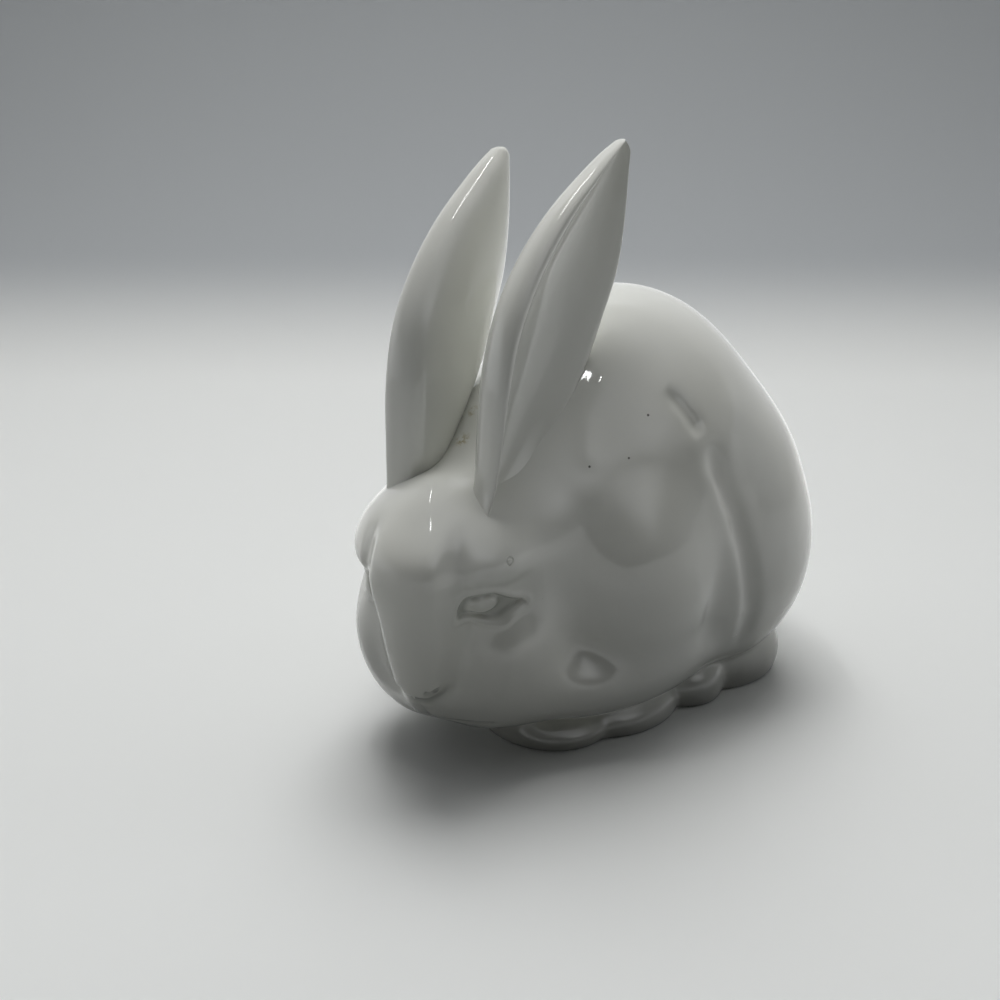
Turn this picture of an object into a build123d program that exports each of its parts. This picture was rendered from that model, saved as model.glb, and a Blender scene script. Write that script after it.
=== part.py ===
from build123d import *
import math
import os

# A crouching rabbit in glazed porcelain, cast hollow and put together from ten pieces.
# Up is +Z, the rabbit's body points to -Y and its left side is +X.
# Every length is in millimetres. The pieces are drawn about a line through the back,
# and the finished figure is then set with its origin under the middle of its bounding box.

# Shell walls, joints and openings
wall = 4.0
joint_gap = 0.1
foot_rim_width = 6.0
plate_thickness = 3.5
plate_recess = 1.0
plate_ledge = 2.5
vent_diameter = 6.0

# Torso: the high round back
torso_half_width = 41.5
torso_half_length = 46.0
torso_half_height = 56.0
torso_middle_y = 5.5
torso_middle_z = 58.5

# Rump: the lower swell behind the back
rump_half_width = 43.0
rump_half_length = 37.0
rump_half_height = 44.0
rump_middle_y = 29.0
rump_middle_z = 47.0

# Neck: the slope from the back down to the head
neck_half_width = 30.0
neck_half_length = 28.0
neck_half_height = 36.0
neck_middle_x = 3.0
neck_middle_y = -28.0
neck_middle_z = 56.0

# Haunch: the round thigh on each side
haunch_half_width = 21.0
haunch_half_length = 30.5
haunch_half_height = 33.0
haunch_middle_x = 25.0
haunch_middle_y = 27.0
haunch_middle_z = 39.5

# Flank: the shoulder and belly swell on each side
flank_half_width = 24.0
flank_half_length = 28.0
flank_half_height = 33.0
flank_middle_x = 22.0
flank_middle_y = -8.0
flank_middle_z = 40.0

# Belly: the low swell that overhangs the feet on each side
belly_half_width = 21.5
belly_half_length = 41.0
belly_half_height = 15.0
belly_middle_x = 21.0
belly_middle_y = -10.0
belly_middle_z = 22.5

# Chest, under the chin
chest_half_width = 24.0
chest_half_length = 20.0
chest_half_height = 28.0
chest_middle_y = -30.0
chest_middle_z = 24.0

# Foot oval: the flat underside that the figure stands on
foot_half_width = 27.0
foot_half_length = 43.0
foot_half_height = 12.0
foot_middle_y = 3.0

# How softly the swells of the body run into each other
body_blend = 5.0
limb_blend = 4.0
belly_blend = 5.0

# Hollows on each side: the dimple behind the shoulder and the crease in front of the haunch
dimple_depth = 2.6
dimple_width = 5.5
crease_depth = 1.5
crease_width = 3.5

# Head, in its own frame: it looks along its own -Y and is turned about its middle
head_turn = 32.0
head_middle_x = 5.0
head_middle_y = -44.0
head_middle_z = 48.0
skull_half_width = 24.5
skull_half_length = 34.0
skull_half_height = 19.5
skull_middle_y = -5.5
skull_middle_z = 10.0
cheek_half_width = 21.5
cheek_half_length = 20.0
cheek_half_height = 26.0
cheek_middle_x = 6.5
cheek_middle_y = -9.0
cheek_middle_z = -14.5
muzzle_half_width = 12.5
muzzle_half_length = 17.5
muzzle_half_height = 30.5
muzzle_middle_y = -20.5
muzzle_middle_z = -2.0
head_blend = 2.5

# Face, in the head's frame: the bridge of the nose, the eye sockets and the brows
bridge_half_width = 10.5
bridge_rise = 1.5
bridge_edge = 2.5
bridge_front = 22.0
bridge_top_z = 19.0
bridge_foot_z = -23.5
bridge_fade = 4.0
eye_middle_x = 16.6
eye_middle_y = -27.2
eye_middle_z = 1.2
socket_half_length = 10.0
socket_half_height = 6.5
socket_depth = 1.3
brow_above_eye = 13.0
brow_half_length = 10.0
brow_half_height = 7.0
brow_rise = 1.0

# Eyeballs: low ovals set against the sockets
eyeball_half_length = 5.0
eyeball_half_height = 3.1
eyeball_half_thickness = 0.9
eyeball_turn = 51.7
eyeball_drop = 11.7
eyeball_slant = -16.0

# Ears: leaves that lean back, with a hollow on the outer side
ear_length = 92.3
ear_width = 35.0
ear_thickness = 8.5
ear_root_x = 12.8
left_ear_root_y = -20.8
right_ear_root_y = -18.5
left_ear_root_rise = 14.7
right_ear_root_rise = 10.7
left_ear_lean = 30.5
right_ear_lean = 28.1
left_ear_splay = 1.4
right_ear_splay = -1.1
left_ear_turn = 14.6
right_ear_turn = 22.2

# Forepaws: a paw lump and an elbow lump
paw_half_width = 20.5
paw_half_length = 19.0
paw_half_height = 11.0
paw_middle_x = 14.0
paw_middle_y = -26.0
paw_middle_z = 2.5
elbow_half_width = 11.7
elbow_half_length = 18.0
elbow_half_height = 11.0
elbow_inside_rim = 1.0
elbow_middle_y = -8.0
elbow_middle_z = 2.5

# Hind feet: a toe lump and a heel lump
toe_half_width = 10.8
toe_half_length = 12.0
toe_half_height = 10.5
toe_middle_y = 14.5
toe_middle_z = 4.0
heel_half_width = 10.0
heel_half_length = 17.0
heel_half_height = 14.0
heel_outside_rim = 0.5
heel_middle_y = 33.5
heel_middle_z = 6.0

# Tail: a round bob against the rump
tail_half_width = 10.0
tail_half_length = 11.0
tail_half_height = 11.0
tail_middle_y = 60.0
tail_middle_z = 24.0

# Heights of the rings that the shells are lofted through, as shares of each shell's height
body_ring_shares = (
    0.0, 0.03, 0.06, 0.09, 0.12, 0.16, 0.21, 0.27, 0.34, 0.42,
    0.51, 0.6, 0.68, 0.75, 0.82, 0.88, 0.935, 0.975, 0.996,
)
head_ring_shares = (
    0.015, 0.04, 0.08, 0.15, 0.23, 0.31, 0.39, 0.47, 0.54,
    0.6, 0.65, 0.7, 0.76, 0.83, 0.9, 0.945, 0.97, 0.988,
)

# Bearings of the points on a ring's left half, in degrees from +X, close together where the form is fine
body_bearings = (-90, -78, -66, -54, -43, -33, -24, -16, -10, -5, 0, 4, 8, 12, 16, 20, 25, 32, 42, 54, 66, 78, 90)
head_bearings = (-90, -83, -77, -71, -65, -60, -55, -50, -45, -40, -34, -26, -16, -4, 9, 23, 38, 54, 72, 90)

# How finely the surface is searched for along a line, as a share of the search's reach
search_steps = 1e7

# Dimple and crease: points on the body's left side, as shares of the torso's half sizes from its middle
dimple_shares = ((0.71, -0.21, 0.64), (0.83, -0.14, 0.53), (0.94, -0.01, 0.37))
crease_shares = dimple_shares[-1:] + (
    (0.986, 0.046, 0.205),
    (1.034, 0.141, 0.018),
    (1.075, 0.226, -0.241),
    (1.08, 0.27, -0.416),
    (1.053, 0.298, -0.571),
)

# Ear outline: share of the length from the root, then front and rear edge as shares of the width,
# then the thickness share there
ear_outline_shares = (
    (-0.05, -0.005, 0.134, 0.55),
    (0.03, -0.052, 0.219, 0.7),
    (0.12, -0.162, 0.315, 0.85),
    (0.26, -0.344, 0.422, 1.0),
    (0.42, -0.478, 0.504, 1.0),
    (0.58, -0.467, 0.494, 0.95),
    (0.72, -0.368, 0.46, 0.85),
    (0.85, -0.208, 0.321, 0.7),
    (0.94, -0.081, 0.192, 0.5),
    (0.998, 0.005, 0.122, 0.3),
)

# Ear cross-section from the middle of the inner side to the rear rim, along the outer side
# to the front rim and back: share of the half width, then share of the thickness, outer positive
ear_section_shares = (
    (0.2, -0.93),
    (0.6, -0.68),
    (0.88, -0.36),
    (1.0, -0.08),
    (0.94, 0.1),
    (0.76, 0.0),
    (0.4, -0.28),
    (0.0, -0.42),
    (-0.4, -0.28),
    (-0.66, 0.05),
    (-0.82, 0.36),
    (-0.94, 0.34),
    (-1.0, 0.0),
    (-0.93, -0.5),
    (-0.7, -0.82),
    (-0.3, -0.98),
)


def swell(point, middle, half_sizes):
    """Roughly the distance from a point to an ellipsoid, negative inside it."""
    scaled = [(p - m) / h for p, m, h in zip(point, middle, half_sizes)]
    steep = [s / h for s, h in zip(scaled, half_sizes)]
    reach = math.sqrt(sum(s * s for s in scaled))
    slope = math.sqrt(sum(s * s for s in steep))
    if slope == 0:
        return -min(half_sizes)
    return reach * (reach - 1) / slope


def blended(distances, softness):
    """The union of several distances, with the valleys between them filled softly."""
    least = min(distances)
    total = sum(math.exp((least - d) / softness) for d in distances)
    return least - softness * math.log(total)


def joined(first, second, softness):
    """The union of two distances, with a fillet in the valley between them."""
    share = min(max((1 + (second - first) / softness) / 2, 0), 1)
    return second + (first - second) * share - softness * share * (1 - share)


def between(value, low, high):
    """Nought below low, one above high and an even rise from one to the other."""
    share = min(max((value - low) / (high - low), 0), 1)
    return share * share * (3 - 2 * share)


def hollow(point, path_shares, depth, width):
    """How deep a soft groove along a path is pressed in at a point."""
    path = [
        Vector(share_x * torso_half_width, torso_middle_y + share_y * torso_half_length,
               torso_middle_z + share_z * torso_half_height)
        for share_x, share_y, share_z in path_shares
    ]
    nearest = torso_half_height
    for start, end in zip(path, path[1:]):
        leg = end - start
        share = min(max((point - start).dot(leg) / leg.dot(leg), 0), 1)
        nearest = min(nearest, (point - start - leg * share).length)
    return depth * math.exp(-(nearest / width) ** 2)


def body_distance(x, y, z):
    side = abs(x)
    core = blended(
        [
            swell((x, y, z), (0, torso_middle_y, torso_middle_z),
                  (torso_half_width, torso_half_length, torso_half_height)),
            swell((x, y, z), (0, rump_middle_y, rump_middle_z),
                  (rump_half_width, rump_half_length, rump_half_height)),
            swell((x, y, z), (neck_middle_x, neck_middle_y, neck_middle_z),
                  (neck_half_width, neck_half_length, neck_half_height)),
            swell((x, y, z), (0, chest_middle_y, chest_middle_z),
                  (chest_half_width, chest_half_length, chest_half_height)),
            swell((x, y, z), (0, foot_middle_y, 0),
                  (foot_half_width, foot_half_length, foot_half_height)),
        ],
        body_blend,
    )
    flank = swell((side, y, z), (flank_middle_x, flank_middle_y, flank_middle_z),
                  (flank_half_width, flank_half_length, flank_half_height))
    haunch = swell((side, y, z), (haunch_middle_x, haunch_middle_y, haunch_middle_z),
                   (haunch_half_width, haunch_half_length, haunch_half_height))
    belly = swell((side, y, z), (belly_middle_x, belly_middle_y, belly_middle_z),
                  (belly_half_width, belly_half_length, belly_half_height))
    trunk = joined(joined(core, flank, limb_blend), haunch, limb_blend)
    point = Vector(side, y, z)
    pressed = max(hollow(point, dimple_shares, dimple_depth, dimple_width),
                  hollow(point, crease_shares, crease_depth, crease_width))
    return joined(trunk, belly, belly_blend) + pressed


def mound(point, middle, half_sizes):
    """One at the middle of an oval mound, fading to nought around it."""
    return math.exp(-sum(((p - m) / h) ** 2 for p, m, h in zip(point, middle, half_sizes)))


def face_relief(side, y, z):
    """How far the face stands out from the head's swells."""
    ridge = (1 - math.tanh((side - bridge_half_width) / bridge_edge)) / 2
    ridge *= between(-y, bridge_front - bridge_fade, bridge_front + bridge_fade)
    ridge *= between(z, bridge_foot_z - bridge_fade, bridge_foot_z + bridge_fade)
    ridge *= 1 - between(z, bridge_top_z - bridge_fade, bridge_top_z + bridge_fade)
    socket = mound((side, y, z), (eye_middle_x, eye_middle_y, eye_middle_z),
                   (socket_half_length, socket_half_length, socket_half_height))
    brow = mound((side, y, z), (eye_middle_x, eye_middle_y, eye_middle_z + brow_above_eye),
                 (brow_half_length, brow_half_length, brow_half_height))
    return bridge_rise * ridge + brow_rise * brow - socket_depth * socket


def head_distance(x, y, z):
    """The head in its own frame, with its middle at the origin."""
    side = abs(x)
    swells = blended(
        [
            swell((x, y, z), (0, skull_middle_y, skull_middle_z),
                  (skull_half_width, skull_half_length, skull_half_height)),
            swell((side, y, z), (cheek_middle_x, cheek_middle_y, cheek_middle_z),
                  (cheek_half_width, cheek_half_length, cheek_half_height)),
            swell((x, y, z), (0, muzzle_middle_y, muzzle_middle_z),
                  (muzzle_half_width, muzzle_half_length, muzzle_half_height)),
        ],
        head_blend,
    )
    return swells - face_relief(side, y, z)


def crossing(distance, start, direction, inset):
    """How far from start the surface lies along a direction, set inward by inset."""
    reach = 2 * torso_half_height
    near, far = 0.0, reach
    while reach / (far - near) < search_steps:
        middle = (near + far) / 2
        point = [s + middle * d for s, d in zip(start, direction)]
        if distance(*point) < -inset:
            near = middle
        else:
            far = middle
    return near


def ring(distance, axis, height, bearings, inset):
    """One closed smooth level section of a shape, as a wire round an upright axis."""
    turns = list(bearings) + [180 - bearing for bearing in reversed(bearings[1:-1])]
    points = []
    for turn in turns:
        direction = (math.cos(math.radians(turn)), math.sin(math.radians(turn)), 0)
        start = (axis[0], axis[1], height)
        points.append(Vector(start) + Vector(direction) * crossing(distance, start, direction, inset))
    stations = [(turn - turns[0]) / 360 for turn in turns] + [1]
    return Wire([Edge.make_spline(points, periodic=True, parameters=stations)])


def ringed_solid(distance, middle, shares, bearings, inset=0.0, floor=None):
    """A shape lofted through level rings, from its foot or a given floor up to its top."""
    top = middle[2] + crossing(distance, middle, (0, 0, 1), inset)
    if floor is None:
        floor = middle[2] - crossing(distance, middle, (0, 0, -1), inset)
    heights = [floor + share * (top - floor) for share in shares]
    return Solid.make_loft([ring(distance, middle, height, bearings, inset) for height in heights])


def ellipsoid(middle, half_sizes):
    return Pos(*middle) * scale(Sphere(1), by=half_sizes)


def oval_prism(half_width, half_length, bottom, height):
    outline = Pos(0, foot_middle_y, bottom) * Rot(0, 0, 90) * Ellipse(half_length, half_width)
    return extrude(outline, height)


def placed_head(solid):
    return Pos(head_middle_x, head_middle_y, head_middle_z) * Rot(0, 0, head_turn) * solid


def eyeball(side):
    """A low oval whose middle lies on the head's surface, at the middle of the socket."""
    centre = Vector(head_middle)
    towards = Vector(side * eye_middle_x, eye_middle_y, eye_middle_z) - centre
    direction = towards.normalized()
    on_skin = centre + direction * crossing(head_distance, head_middle, tuple(direction), 0)
    turn = math.radians(eyeball_turn)
    drop = math.radians(eyeball_drop)
    facing = (side * math.sin(turn) * math.cos(drop), -math.cos(turn) * math.cos(drop), -math.sin(drop))
    rearward = (side * math.cos(turn), math.sin(turn), 0)
    seat = Plane(origin=on_skin, x_dir=rearward, z_dir=facing)
    oval = scale(Sphere(1), by=(eyeball_half_length, eyeball_half_height, eyeball_half_thickness))
    return seat * Rot(0, 0, side * eyeball_slant) * oval


def ear_point(side, along, across, outward):
    """A point of an ear. Along runs from root to tip, across from front to rear, outward from the head."""
    lean = math.radians(left_ear_lean if side > 0 else right_ear_lean)
    splay = math.radians(left_ear_splay if side > 0 else right_ear_splay)
    turn = math.radians(left_ear_turn if side > 0 else right_ear_turn)
    ear_root_y = left_ear_root_y if side > 0 else right_ear_root_y
    ear_root_rise = left_ear_root_rise if side > 0 else right_ear_root_rise
    swing = math.radians(head_turn)
    back = along * math.sin(lean) + across * math.cos(lean)
    rise = along * math.cos(lean) - across * math.sin(lean)
    aside = side * (outward * math.cos(splay) + rise * math.sin(splay))
    up = rise * math.cos(splay) - outward * math.sin(splay)
    root_x = side * ear_root_x * math.cos(swing) - ear_root_y * math.sin(swing)
    root_y = side * ear_root_x * math.sin(swing) + ear_root_y * math.cos(swing)
    return Vector(
        head_middle_x + root_x + aside * math.cos(turn) - back * math.sin(turn),
        head_middle_y + root_y + aside * math.sin(turn) + back * math.cos(turn),
        head_middle_z + skull_middle_z + ear_root_rise + up,
    )


def ear_solid(side):
    wires = []
    count = len(ear_section_shares)
    stations = [step / count for step in range(count + 1)]
    for along, front, rear, thick in ear_outline_shares:
        half = (rear - front) / 2 * ear_width
        middle = (rear + front) / 2 * ear_width
        points = [
            ear_point(side, along * ear_length, middle + across * half, outward * thick * ear_thickness)
            for across, outward in ear_section_shares
        ]
        wires.append(Wire([Edge.make_spline(points, periodic=True, parameters=stations)]))
    return Solid.make_loft(wires)


# Outer forms and cavities
body_middle = (0, torso_middle_y, torso_middle_z)
head_middle = (0, cheek_middle_y, muzzle_middle_z)
plate_top = plate_recess + plate_thickness
cavity_floor = plate_top + wall
body_outer = ringed_solid(body_distance, body_middle, body_ring_shares, body_bearings, floor=0.0)
body_cavity = ringed_solid(body_distance, body_middle, body_ring_shares, body_bearings,
                           inset=wall, floor=cavity_floor)
head_skin = ringed_solid(head_distance, head_middle, head_ring_shares, head_bearings)
head_outer = placed_head(head_skin + eyeball(1) + eyeball(-1))
head_cavity = placed_head(ringed_solid(head_distance, head_middle, head_ring_shares, head_bearings, inset=wall))

# Bottom opening with a ledge that the base plate is set against
opening_half_width = foot_half_width - foot_rim_width
opening_half_length = foot_half_length - foot_rim_width
opening = oval_prism(opening_half_width, opening_half_length, 0, plate_top)
throat = oval_prism(opening_half_width - plate_ledge, opening_half_length - plate_ledge,
                    plate_top, cavity_floor - plate_top + wall)
body_shell = body_outer - body_cavity - throat - opening - head_cavity

head_shell = head_outer - head_cavity - body_outer

base_plate = oval_prism(opening_half_width - joint_gap, opening_half_length - joint_gap,
                        plate_recess, plate_thickness)
vent = Pos(0, foot_middle_y, plate_recess) * extrude(Circle(vent_diameter / 2), plate_thickness)
base_plate = base_plate - vent

# Feet and tail, seated against the outside of the body
underground = Pos(0, 0, -torso_half_height) * Box(
    2 * torso_half_width + 2 * rump_half_width,
    4 * torso_half_length,
    2 * torso_half_height,
)
left_forepaw_form = (
    ellipsoid((paw_middle_x, paw_middle_y, paw_middle_z), (paw_half_width, paw_half_length, paw_half_height))
    + ellipsoid((foot_half_width - elbow_inside_rim, elbow_middle_y, elbow_middle_z),
                (elbow_half_width, elbow_half_length, elbow_half_height))
) - underground
left_hind_foot_form = (
    ellipsoid((foot_half_width, toe_middle_y, toe_middle_z), (toe_half_width, toe_half_length, toe_half_height))
    + ellipsoid((foot_half_width + heel_outside_rim, heel_middle_y, heel_middle_z),
                (heel_half_width, heel_half_length, heel_half_height))
) - underground
tail_form = ellipsoid((0, tail_middle_y, tail_middle_z), (tail_half_width, tail_half_length, tail_half_height))

left_forepaw = left_forepaw_form - body_outer - left_hind_foot_form - head_outer
right_hind_foot_form = mirror(left_hind_foot_form, about=Plane.YZ)
right_forepaw_form = mirror(left_forepaw_form, about=Plane.YZ)

parts = {
    "body_shell": body_shell,
    "head_shell": head_shell,
    "left_ear": ear_solid(1) - head_outer - body_outer,
    "right_ear": ear_solid(-1) - head_outer - body_outer,
    "left_forepaw": left_forepaw,
    "right_forepaw": right_forepaw_form - body_outer - right_hind_foot_form - head_outer,
    "left_hind_foot": left_hind_foot_form - body_outer,
    "right_hind_foot": right_hind_foot_form - body_outer,
    "tail": tail_form - body_outer,
    "base_plate": base_plate,
}

figure_box = Compound(children=[Compound(shape.solids()) for shape in parts.values()]).bounding_box()
to_origin = Pos(-figure_box.center().X, -figure_box.center().Y, -figure_box.min.Z)

os.makedirs("parts", exist_ok=True)
for name, shape in parts.items():
    placed = to_origin * shape
    export_step(placed, f"parts/{name}.step")
    print(name, "solids", len(placed.solids()), "volume", round(placed.volume))
print("size", figure_box.size, "moved by", to_origin.position)
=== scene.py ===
# %% [markdown]
# # A crouching porcelain rabbit
# A small white rabbit, slip-cast in porcelain, glazed all over and standing on an unglazed rim.
# A CAD model holds its plain forms, and this notebook dresses them. The CAD pieces could be given a
# finish as they are, but clay is soft when it is shaped, and no joint between body, head and feet
# shows on the real one. So the outer skin is made anew as one closed surface that hugs the CAD.

# %% Load the packed model
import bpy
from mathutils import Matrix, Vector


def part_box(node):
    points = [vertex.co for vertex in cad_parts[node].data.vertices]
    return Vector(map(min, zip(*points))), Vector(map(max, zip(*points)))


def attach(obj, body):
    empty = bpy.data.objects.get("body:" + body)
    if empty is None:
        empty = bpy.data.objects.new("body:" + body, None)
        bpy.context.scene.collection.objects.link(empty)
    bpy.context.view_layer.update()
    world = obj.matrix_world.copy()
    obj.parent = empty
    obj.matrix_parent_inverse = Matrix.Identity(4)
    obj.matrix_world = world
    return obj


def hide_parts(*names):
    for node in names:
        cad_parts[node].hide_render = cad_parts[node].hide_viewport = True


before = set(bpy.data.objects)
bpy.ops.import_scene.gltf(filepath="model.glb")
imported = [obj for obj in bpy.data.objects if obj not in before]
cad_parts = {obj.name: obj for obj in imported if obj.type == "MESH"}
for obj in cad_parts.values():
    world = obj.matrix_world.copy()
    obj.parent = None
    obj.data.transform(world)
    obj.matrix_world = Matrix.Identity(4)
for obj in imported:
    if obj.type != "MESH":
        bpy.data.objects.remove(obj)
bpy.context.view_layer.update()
print("CAD nodes:", ", ".join(sorted(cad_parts)))

# %% [markdown]
# ## Tools and units
# The figure is worked out in millimetres with numpy, thousands of points at a time, and turned into
# metres when a mesh is made. It is drawn about a line through the back, as the CAD source does.
# The base plate is in both drawings, so its middle says how far the drawing has to be moved.

# %% Tools and units
import math
import bmesh
import bpy
import numpy as np
import openvdb
from mathutils import Matrix, Vector

MM = 0.001
foot_middle = np.array([0.0, 3.0, 0.0])
plate_low, plate_high = (np.array(corner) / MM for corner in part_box("base_plate"))
drawing_shift = ((plate_low + plate_high) / 2 - foot_middle) * (1, 1, 0)
print("Drawing is moved by, mm:", drawing_shift.round(3))


def in_metres(points):
    return (np.asarray(points) + drawing_shift) * MM


# %% [markdown]
# ## The camera
# The photograph looks down at the rabbit's left cheek from close by, with a phone's wide lens.
# A camera can be placed by eye, but here its angles, its distance and the point it looks at were
# worked out from the outline of the ears, back and feet, so the proportions can be compared.

# %% Camera
camera_azimuth, camera_elevation = math.radians(55.2), math.radians(21.0)
camera_distance = 269.0
camera_target = np.array([-1.4, -31.3, 60.1])
backward = np.array([
    math.sin(camera_azimuth) * math.cos(camera_elevation),
    -math.cos(camera_azimuth) * math.cos(camera_elevation),
    math.sin(camera_elevation),
])
camera_data = bpy.data.cameras.new("camera")
camera_data.sensor_width = 36.0
camera_data.lens = 36.0
camera_data.clip_end = 50.0
camera = bpy.data.objects.new("camera", camera_data)
bpy.context.scene.collection.objects.link(camera)
camera.location = Vector(in_metres(camera_target + backward * camera_distance))
camera.rotation_euler = Vector(backward).to_track_quat("Z", "Y").to_euler()
bpy.context.scene.camera = camera
print("Camera stands at, m:", [round(value, 4) for value in camera.location])

# %% [markdown]
# ## Soft forms from distances
# A sculptor builds such an animal from a few egg shapes and smooths the clay between them. Subdivision
# modelling could do that too, but the valleys are easier to steer with distance functions: each says
# how far a point is from an egg, and a soft minimum joins two of them with a fillet of a chosen width.

# %% Distance functions
def swell(points, middle, half_sizes):
    """Roughly the distance to an egg shape, negative inside it."""
    half_sizes = np.array(half_sizes, points.dtype)
    scaled = (points - np.array(middle, points.dtype)) / half_sizes
    reach = np.sqrt((scaled * scaled).sum(-1)) + 1e-6
    scaled /= half_sizes
    slope = np.sqrt((scaled * scaled).sum(-1)) + 1e-9
    return reach * (reach - 1) / slope


def melted(distances, softness):
    """The union of several forms whose valleys are all filled alike."""
    least = np.min(distances, axis=0)
    total = sum(np.exp((least - distance) / softness) for distance in distances)
    return least - softness * np.log(total)


def soft_union(a, b, width):
    share = np.clip(0.5 + 0.5 * (b - a) / width, 0, 1)
    return b + (a - b) * share - width * share * (1 - share)


def soft_cut(a, b, width):
    """What form a keeps outside form b, or inside it if b is given with its sign changed."""
    return -soft_union(-a, b, width)


def mirrored(points):
    return points * (np.sign(points[..., :1]) * (1, 0, 0) + (0, 1, 1)).astype(points.dtype)


def smooth_step(low, high, values):
    share = np.clip((values - low) / (high - low), 0, 1)
    return share * share * (3 - 2 * share)


print("A point 5 mm outside an egg is found to be, mm:",
      swell(np.array([(15.0, 0, 0)]), (0, 0, 0), (10, 12, 14)).round(2))

# %% [markdown]
# ## The rabbit's swells
# Every form is an egg: its middle, then half its width, length and height. The body leans on a torso,
# a rump and a neck, with a haunch and a flank on each side. The head is drawn looking straight ahead
# in a frame of its own, because on the real figure it is turned to the rabbit's left.

# %% Body and head
BODY = {
    "torso": ((0, 5.5, 58.5), (41.5, 46, 56)),
    "rump": ((0, 29, 47), (43, 37, 44)),
    "neck": ((3, -28, 56), (30, 28, 36)),
    "chest": ((0, -30, 24), (24, 20, 28)),
    "haunch": ((25, 27, 39.5), (21, 30.5, 33)),
    "flank": ((22, -8, 43.5), (23.9, 28, 36.5)),
    "belly": ((21, -10, 20.5), (22.2, 41.5, 15.5)),
    "paw": ((14, -26, 2.5), (20.5, 19, 8.5)),
    "elbow": ((26, -8, 2.5), (11.7, 18, 8.5)),
    "toe": ((27, 14.5, 4), (10.8, 12, 10.5)),
    "heel": ((27.5, 33.5, 6), (10, 17, 14)),
    "foot": ((0, 3, 0), (27, 43, 12)),
    "tail": ((0, 60, 24), (10, 11, 11)),
}
HEAD = {
    "skull": ((0, -5.5, 10), (24.5, 34, 19.5)),
    "cheek": ((6.5, -9, -14.5), (21.5, 20, 26)),
    "muzzle": ((0, -20.5, -2), (12.5, 17.5, 30.5)),
}
trunk_softness, side_softness, belly_softness = 5.0, 4.0, 5.0
lump_softness, lump_join, tail_join = 0.6, 1.2, 2.0
head_softness = 2.5
head_middle = np.array([5.0, -44.0, 48.0])
head_turn = math.radians(32.0)
head_axes = np.array([
    [math.cos(head_turn), math.sin(head_turn), 0],
    [-math.sin(head_turn), math.cos(head_turn), 0],
    [0, 0, 1],
])


def to_head(points):
    return (points - head_middle.astype(points.dtype)) @ head_axes.T.astype(points.dtype)


def from_head(points):
    return np.asarray(points) @ head_axes + head_middle


def body_form(points):
    sided = mirrored(points)
    egg = {name: swell(points if name == "neck" else sided, *BODY[name]) for name in BODY}
    trunk = melted([egg[name] for name in ("torso", "rump", "neck", "chest", "foot")], trunk_softness)
    trunk = soft_union(trunk, egg["flank"], side_softness)
    trunk = soft_union(trunk, egg["haunch"], side_softness)
    trunk = soft_union(trunk, egg["belly"], belly_softness)
    lumps = melted([egg[name] for name in ("paw", "elbow", "toe", "heel")], lump_softness)
    return soft_union(soft_union(trunk, lumps, lump_join), egg["tail"], tail_join)


def head_form(points):
    sided = mirrored(points)
    return melted([swell(sided, *HEAD[name]) for name in HEAD], head_softness)


print("Swells:", len(BODY), "of the body and", len(HEAD), "of the head")

# %% [markdown]
# ## Strokes of the modelling tool
# Folds and creases are thin next to the eggs. They could be carved by hand in sculpt mode, but then
# the script couldn't repeat them. Instead each is a stroke: a line in space, a depth and a width.
# A stroke pushes the surface in, or out when its depth is negative, and fades at its two ends.

# %% Strokes
def nearest_on_path(points, path):
    """Distance to a bent line, and how far along it the nearest point lies, from 0 to 1."""
    path = np.array(path, float)
    best = np.full(len(points), np.inf)
    along = np.zeros(len(points))
    for step, (start, end) in enumerate(zip(path[:-1], path[1:])):
        leg = end - start
        share = np.clip(((points - start) @ leg) / (leg @ leg), 0, 1)
        gap = np.linalg.norm(points - start - share[:, None] * leg, axis=1)
        closer = gap < best
        best[closer] = gap[closer]
        along[closer] = (step + share[closer]) / (len(path) - 1)
    return best, along


def stroke(points, path, depth, width, fade_in=0.2, fade_out=0.2):
    """How far a stroke lifts the surface at each point, negative where it presses it in."""
    path = np.array(path, float)
    lift = np.zeros(len(points))
    reach = 3 * width
    near = ((points > path.min(0) - reach) & (points < path.max(0) + reach)).all(1)
    if near.any():
        gap, along = nearest_on_path(points[near], path)
        fade = smooth_step(0, max(fade_in, 1e-3), along) * smooth_step(0, max(fade_out, 1e-3), 1 - along)
        lift[near] = -depth * fade * np.exp(-((gap / width) ** 2))
    return lift


trial_line = [(0, 0, 0), (10, 0, 0)]
trial_points = np.array([(5, 0, 0), (5, 2, 0), (9.5, 0, 0)])
print("A stroke 1 mm deep lifts its middle, its side and its end by, mm:",
      stroke(trial_points, trial_line, 1.0, 2.0).round(2))

# %% [markdown]
# ## Folds of the body
# Behind the shoulder lies a long dimple with a sharp lower lip. It runs down into a narrow valley that
# parts the haunch from the flank as far as the belly. Both sides of the body get them.

# %% Body strokes
haunch_valley = [
    (38.4, 3.6, 80.6), (40.4, 5.9, 74.3), (41.7, 8.7, 68.2), (43.0, 12.4, 60.1), (44.2, 14.9, 51.8),
    (45.0, 16.6, 44.8), (45.2, 18.3, 37.6), (44.6, 19.6, 30.9), (42.5, 20.3, 22.7), (39.5, 20.0, 16.5),
]
haunch_front = [
    (31.0, 19.5, 92.5), (35.0, 15.7, 87.1), (38.2, 12.0, 81.5), (40.3, 11.4, 75.5), (42.0, 13.0, 68.0),
]
shoulder_dimple = [(30.6, -5.0, 94.3), (33.7, -1.5, 90.3), (35.9, 0.8, 86.6), (38.1, 3.2, 81.5)]
dimple_lip = [(36.2, -3.5, 84.5), (37.5, -1.2, 81.9), (38.8, 1.4, 78.9), (40.0, 5.0, 75.4)]
shoulder_ridge = [
    (20.4, -2.4, 106.4), (23.6, -15.3, 97.5), (25.3, -24, 89), (28.8, -27.1, 81.6), (31.3, -28.3, 75.7),
]


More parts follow.
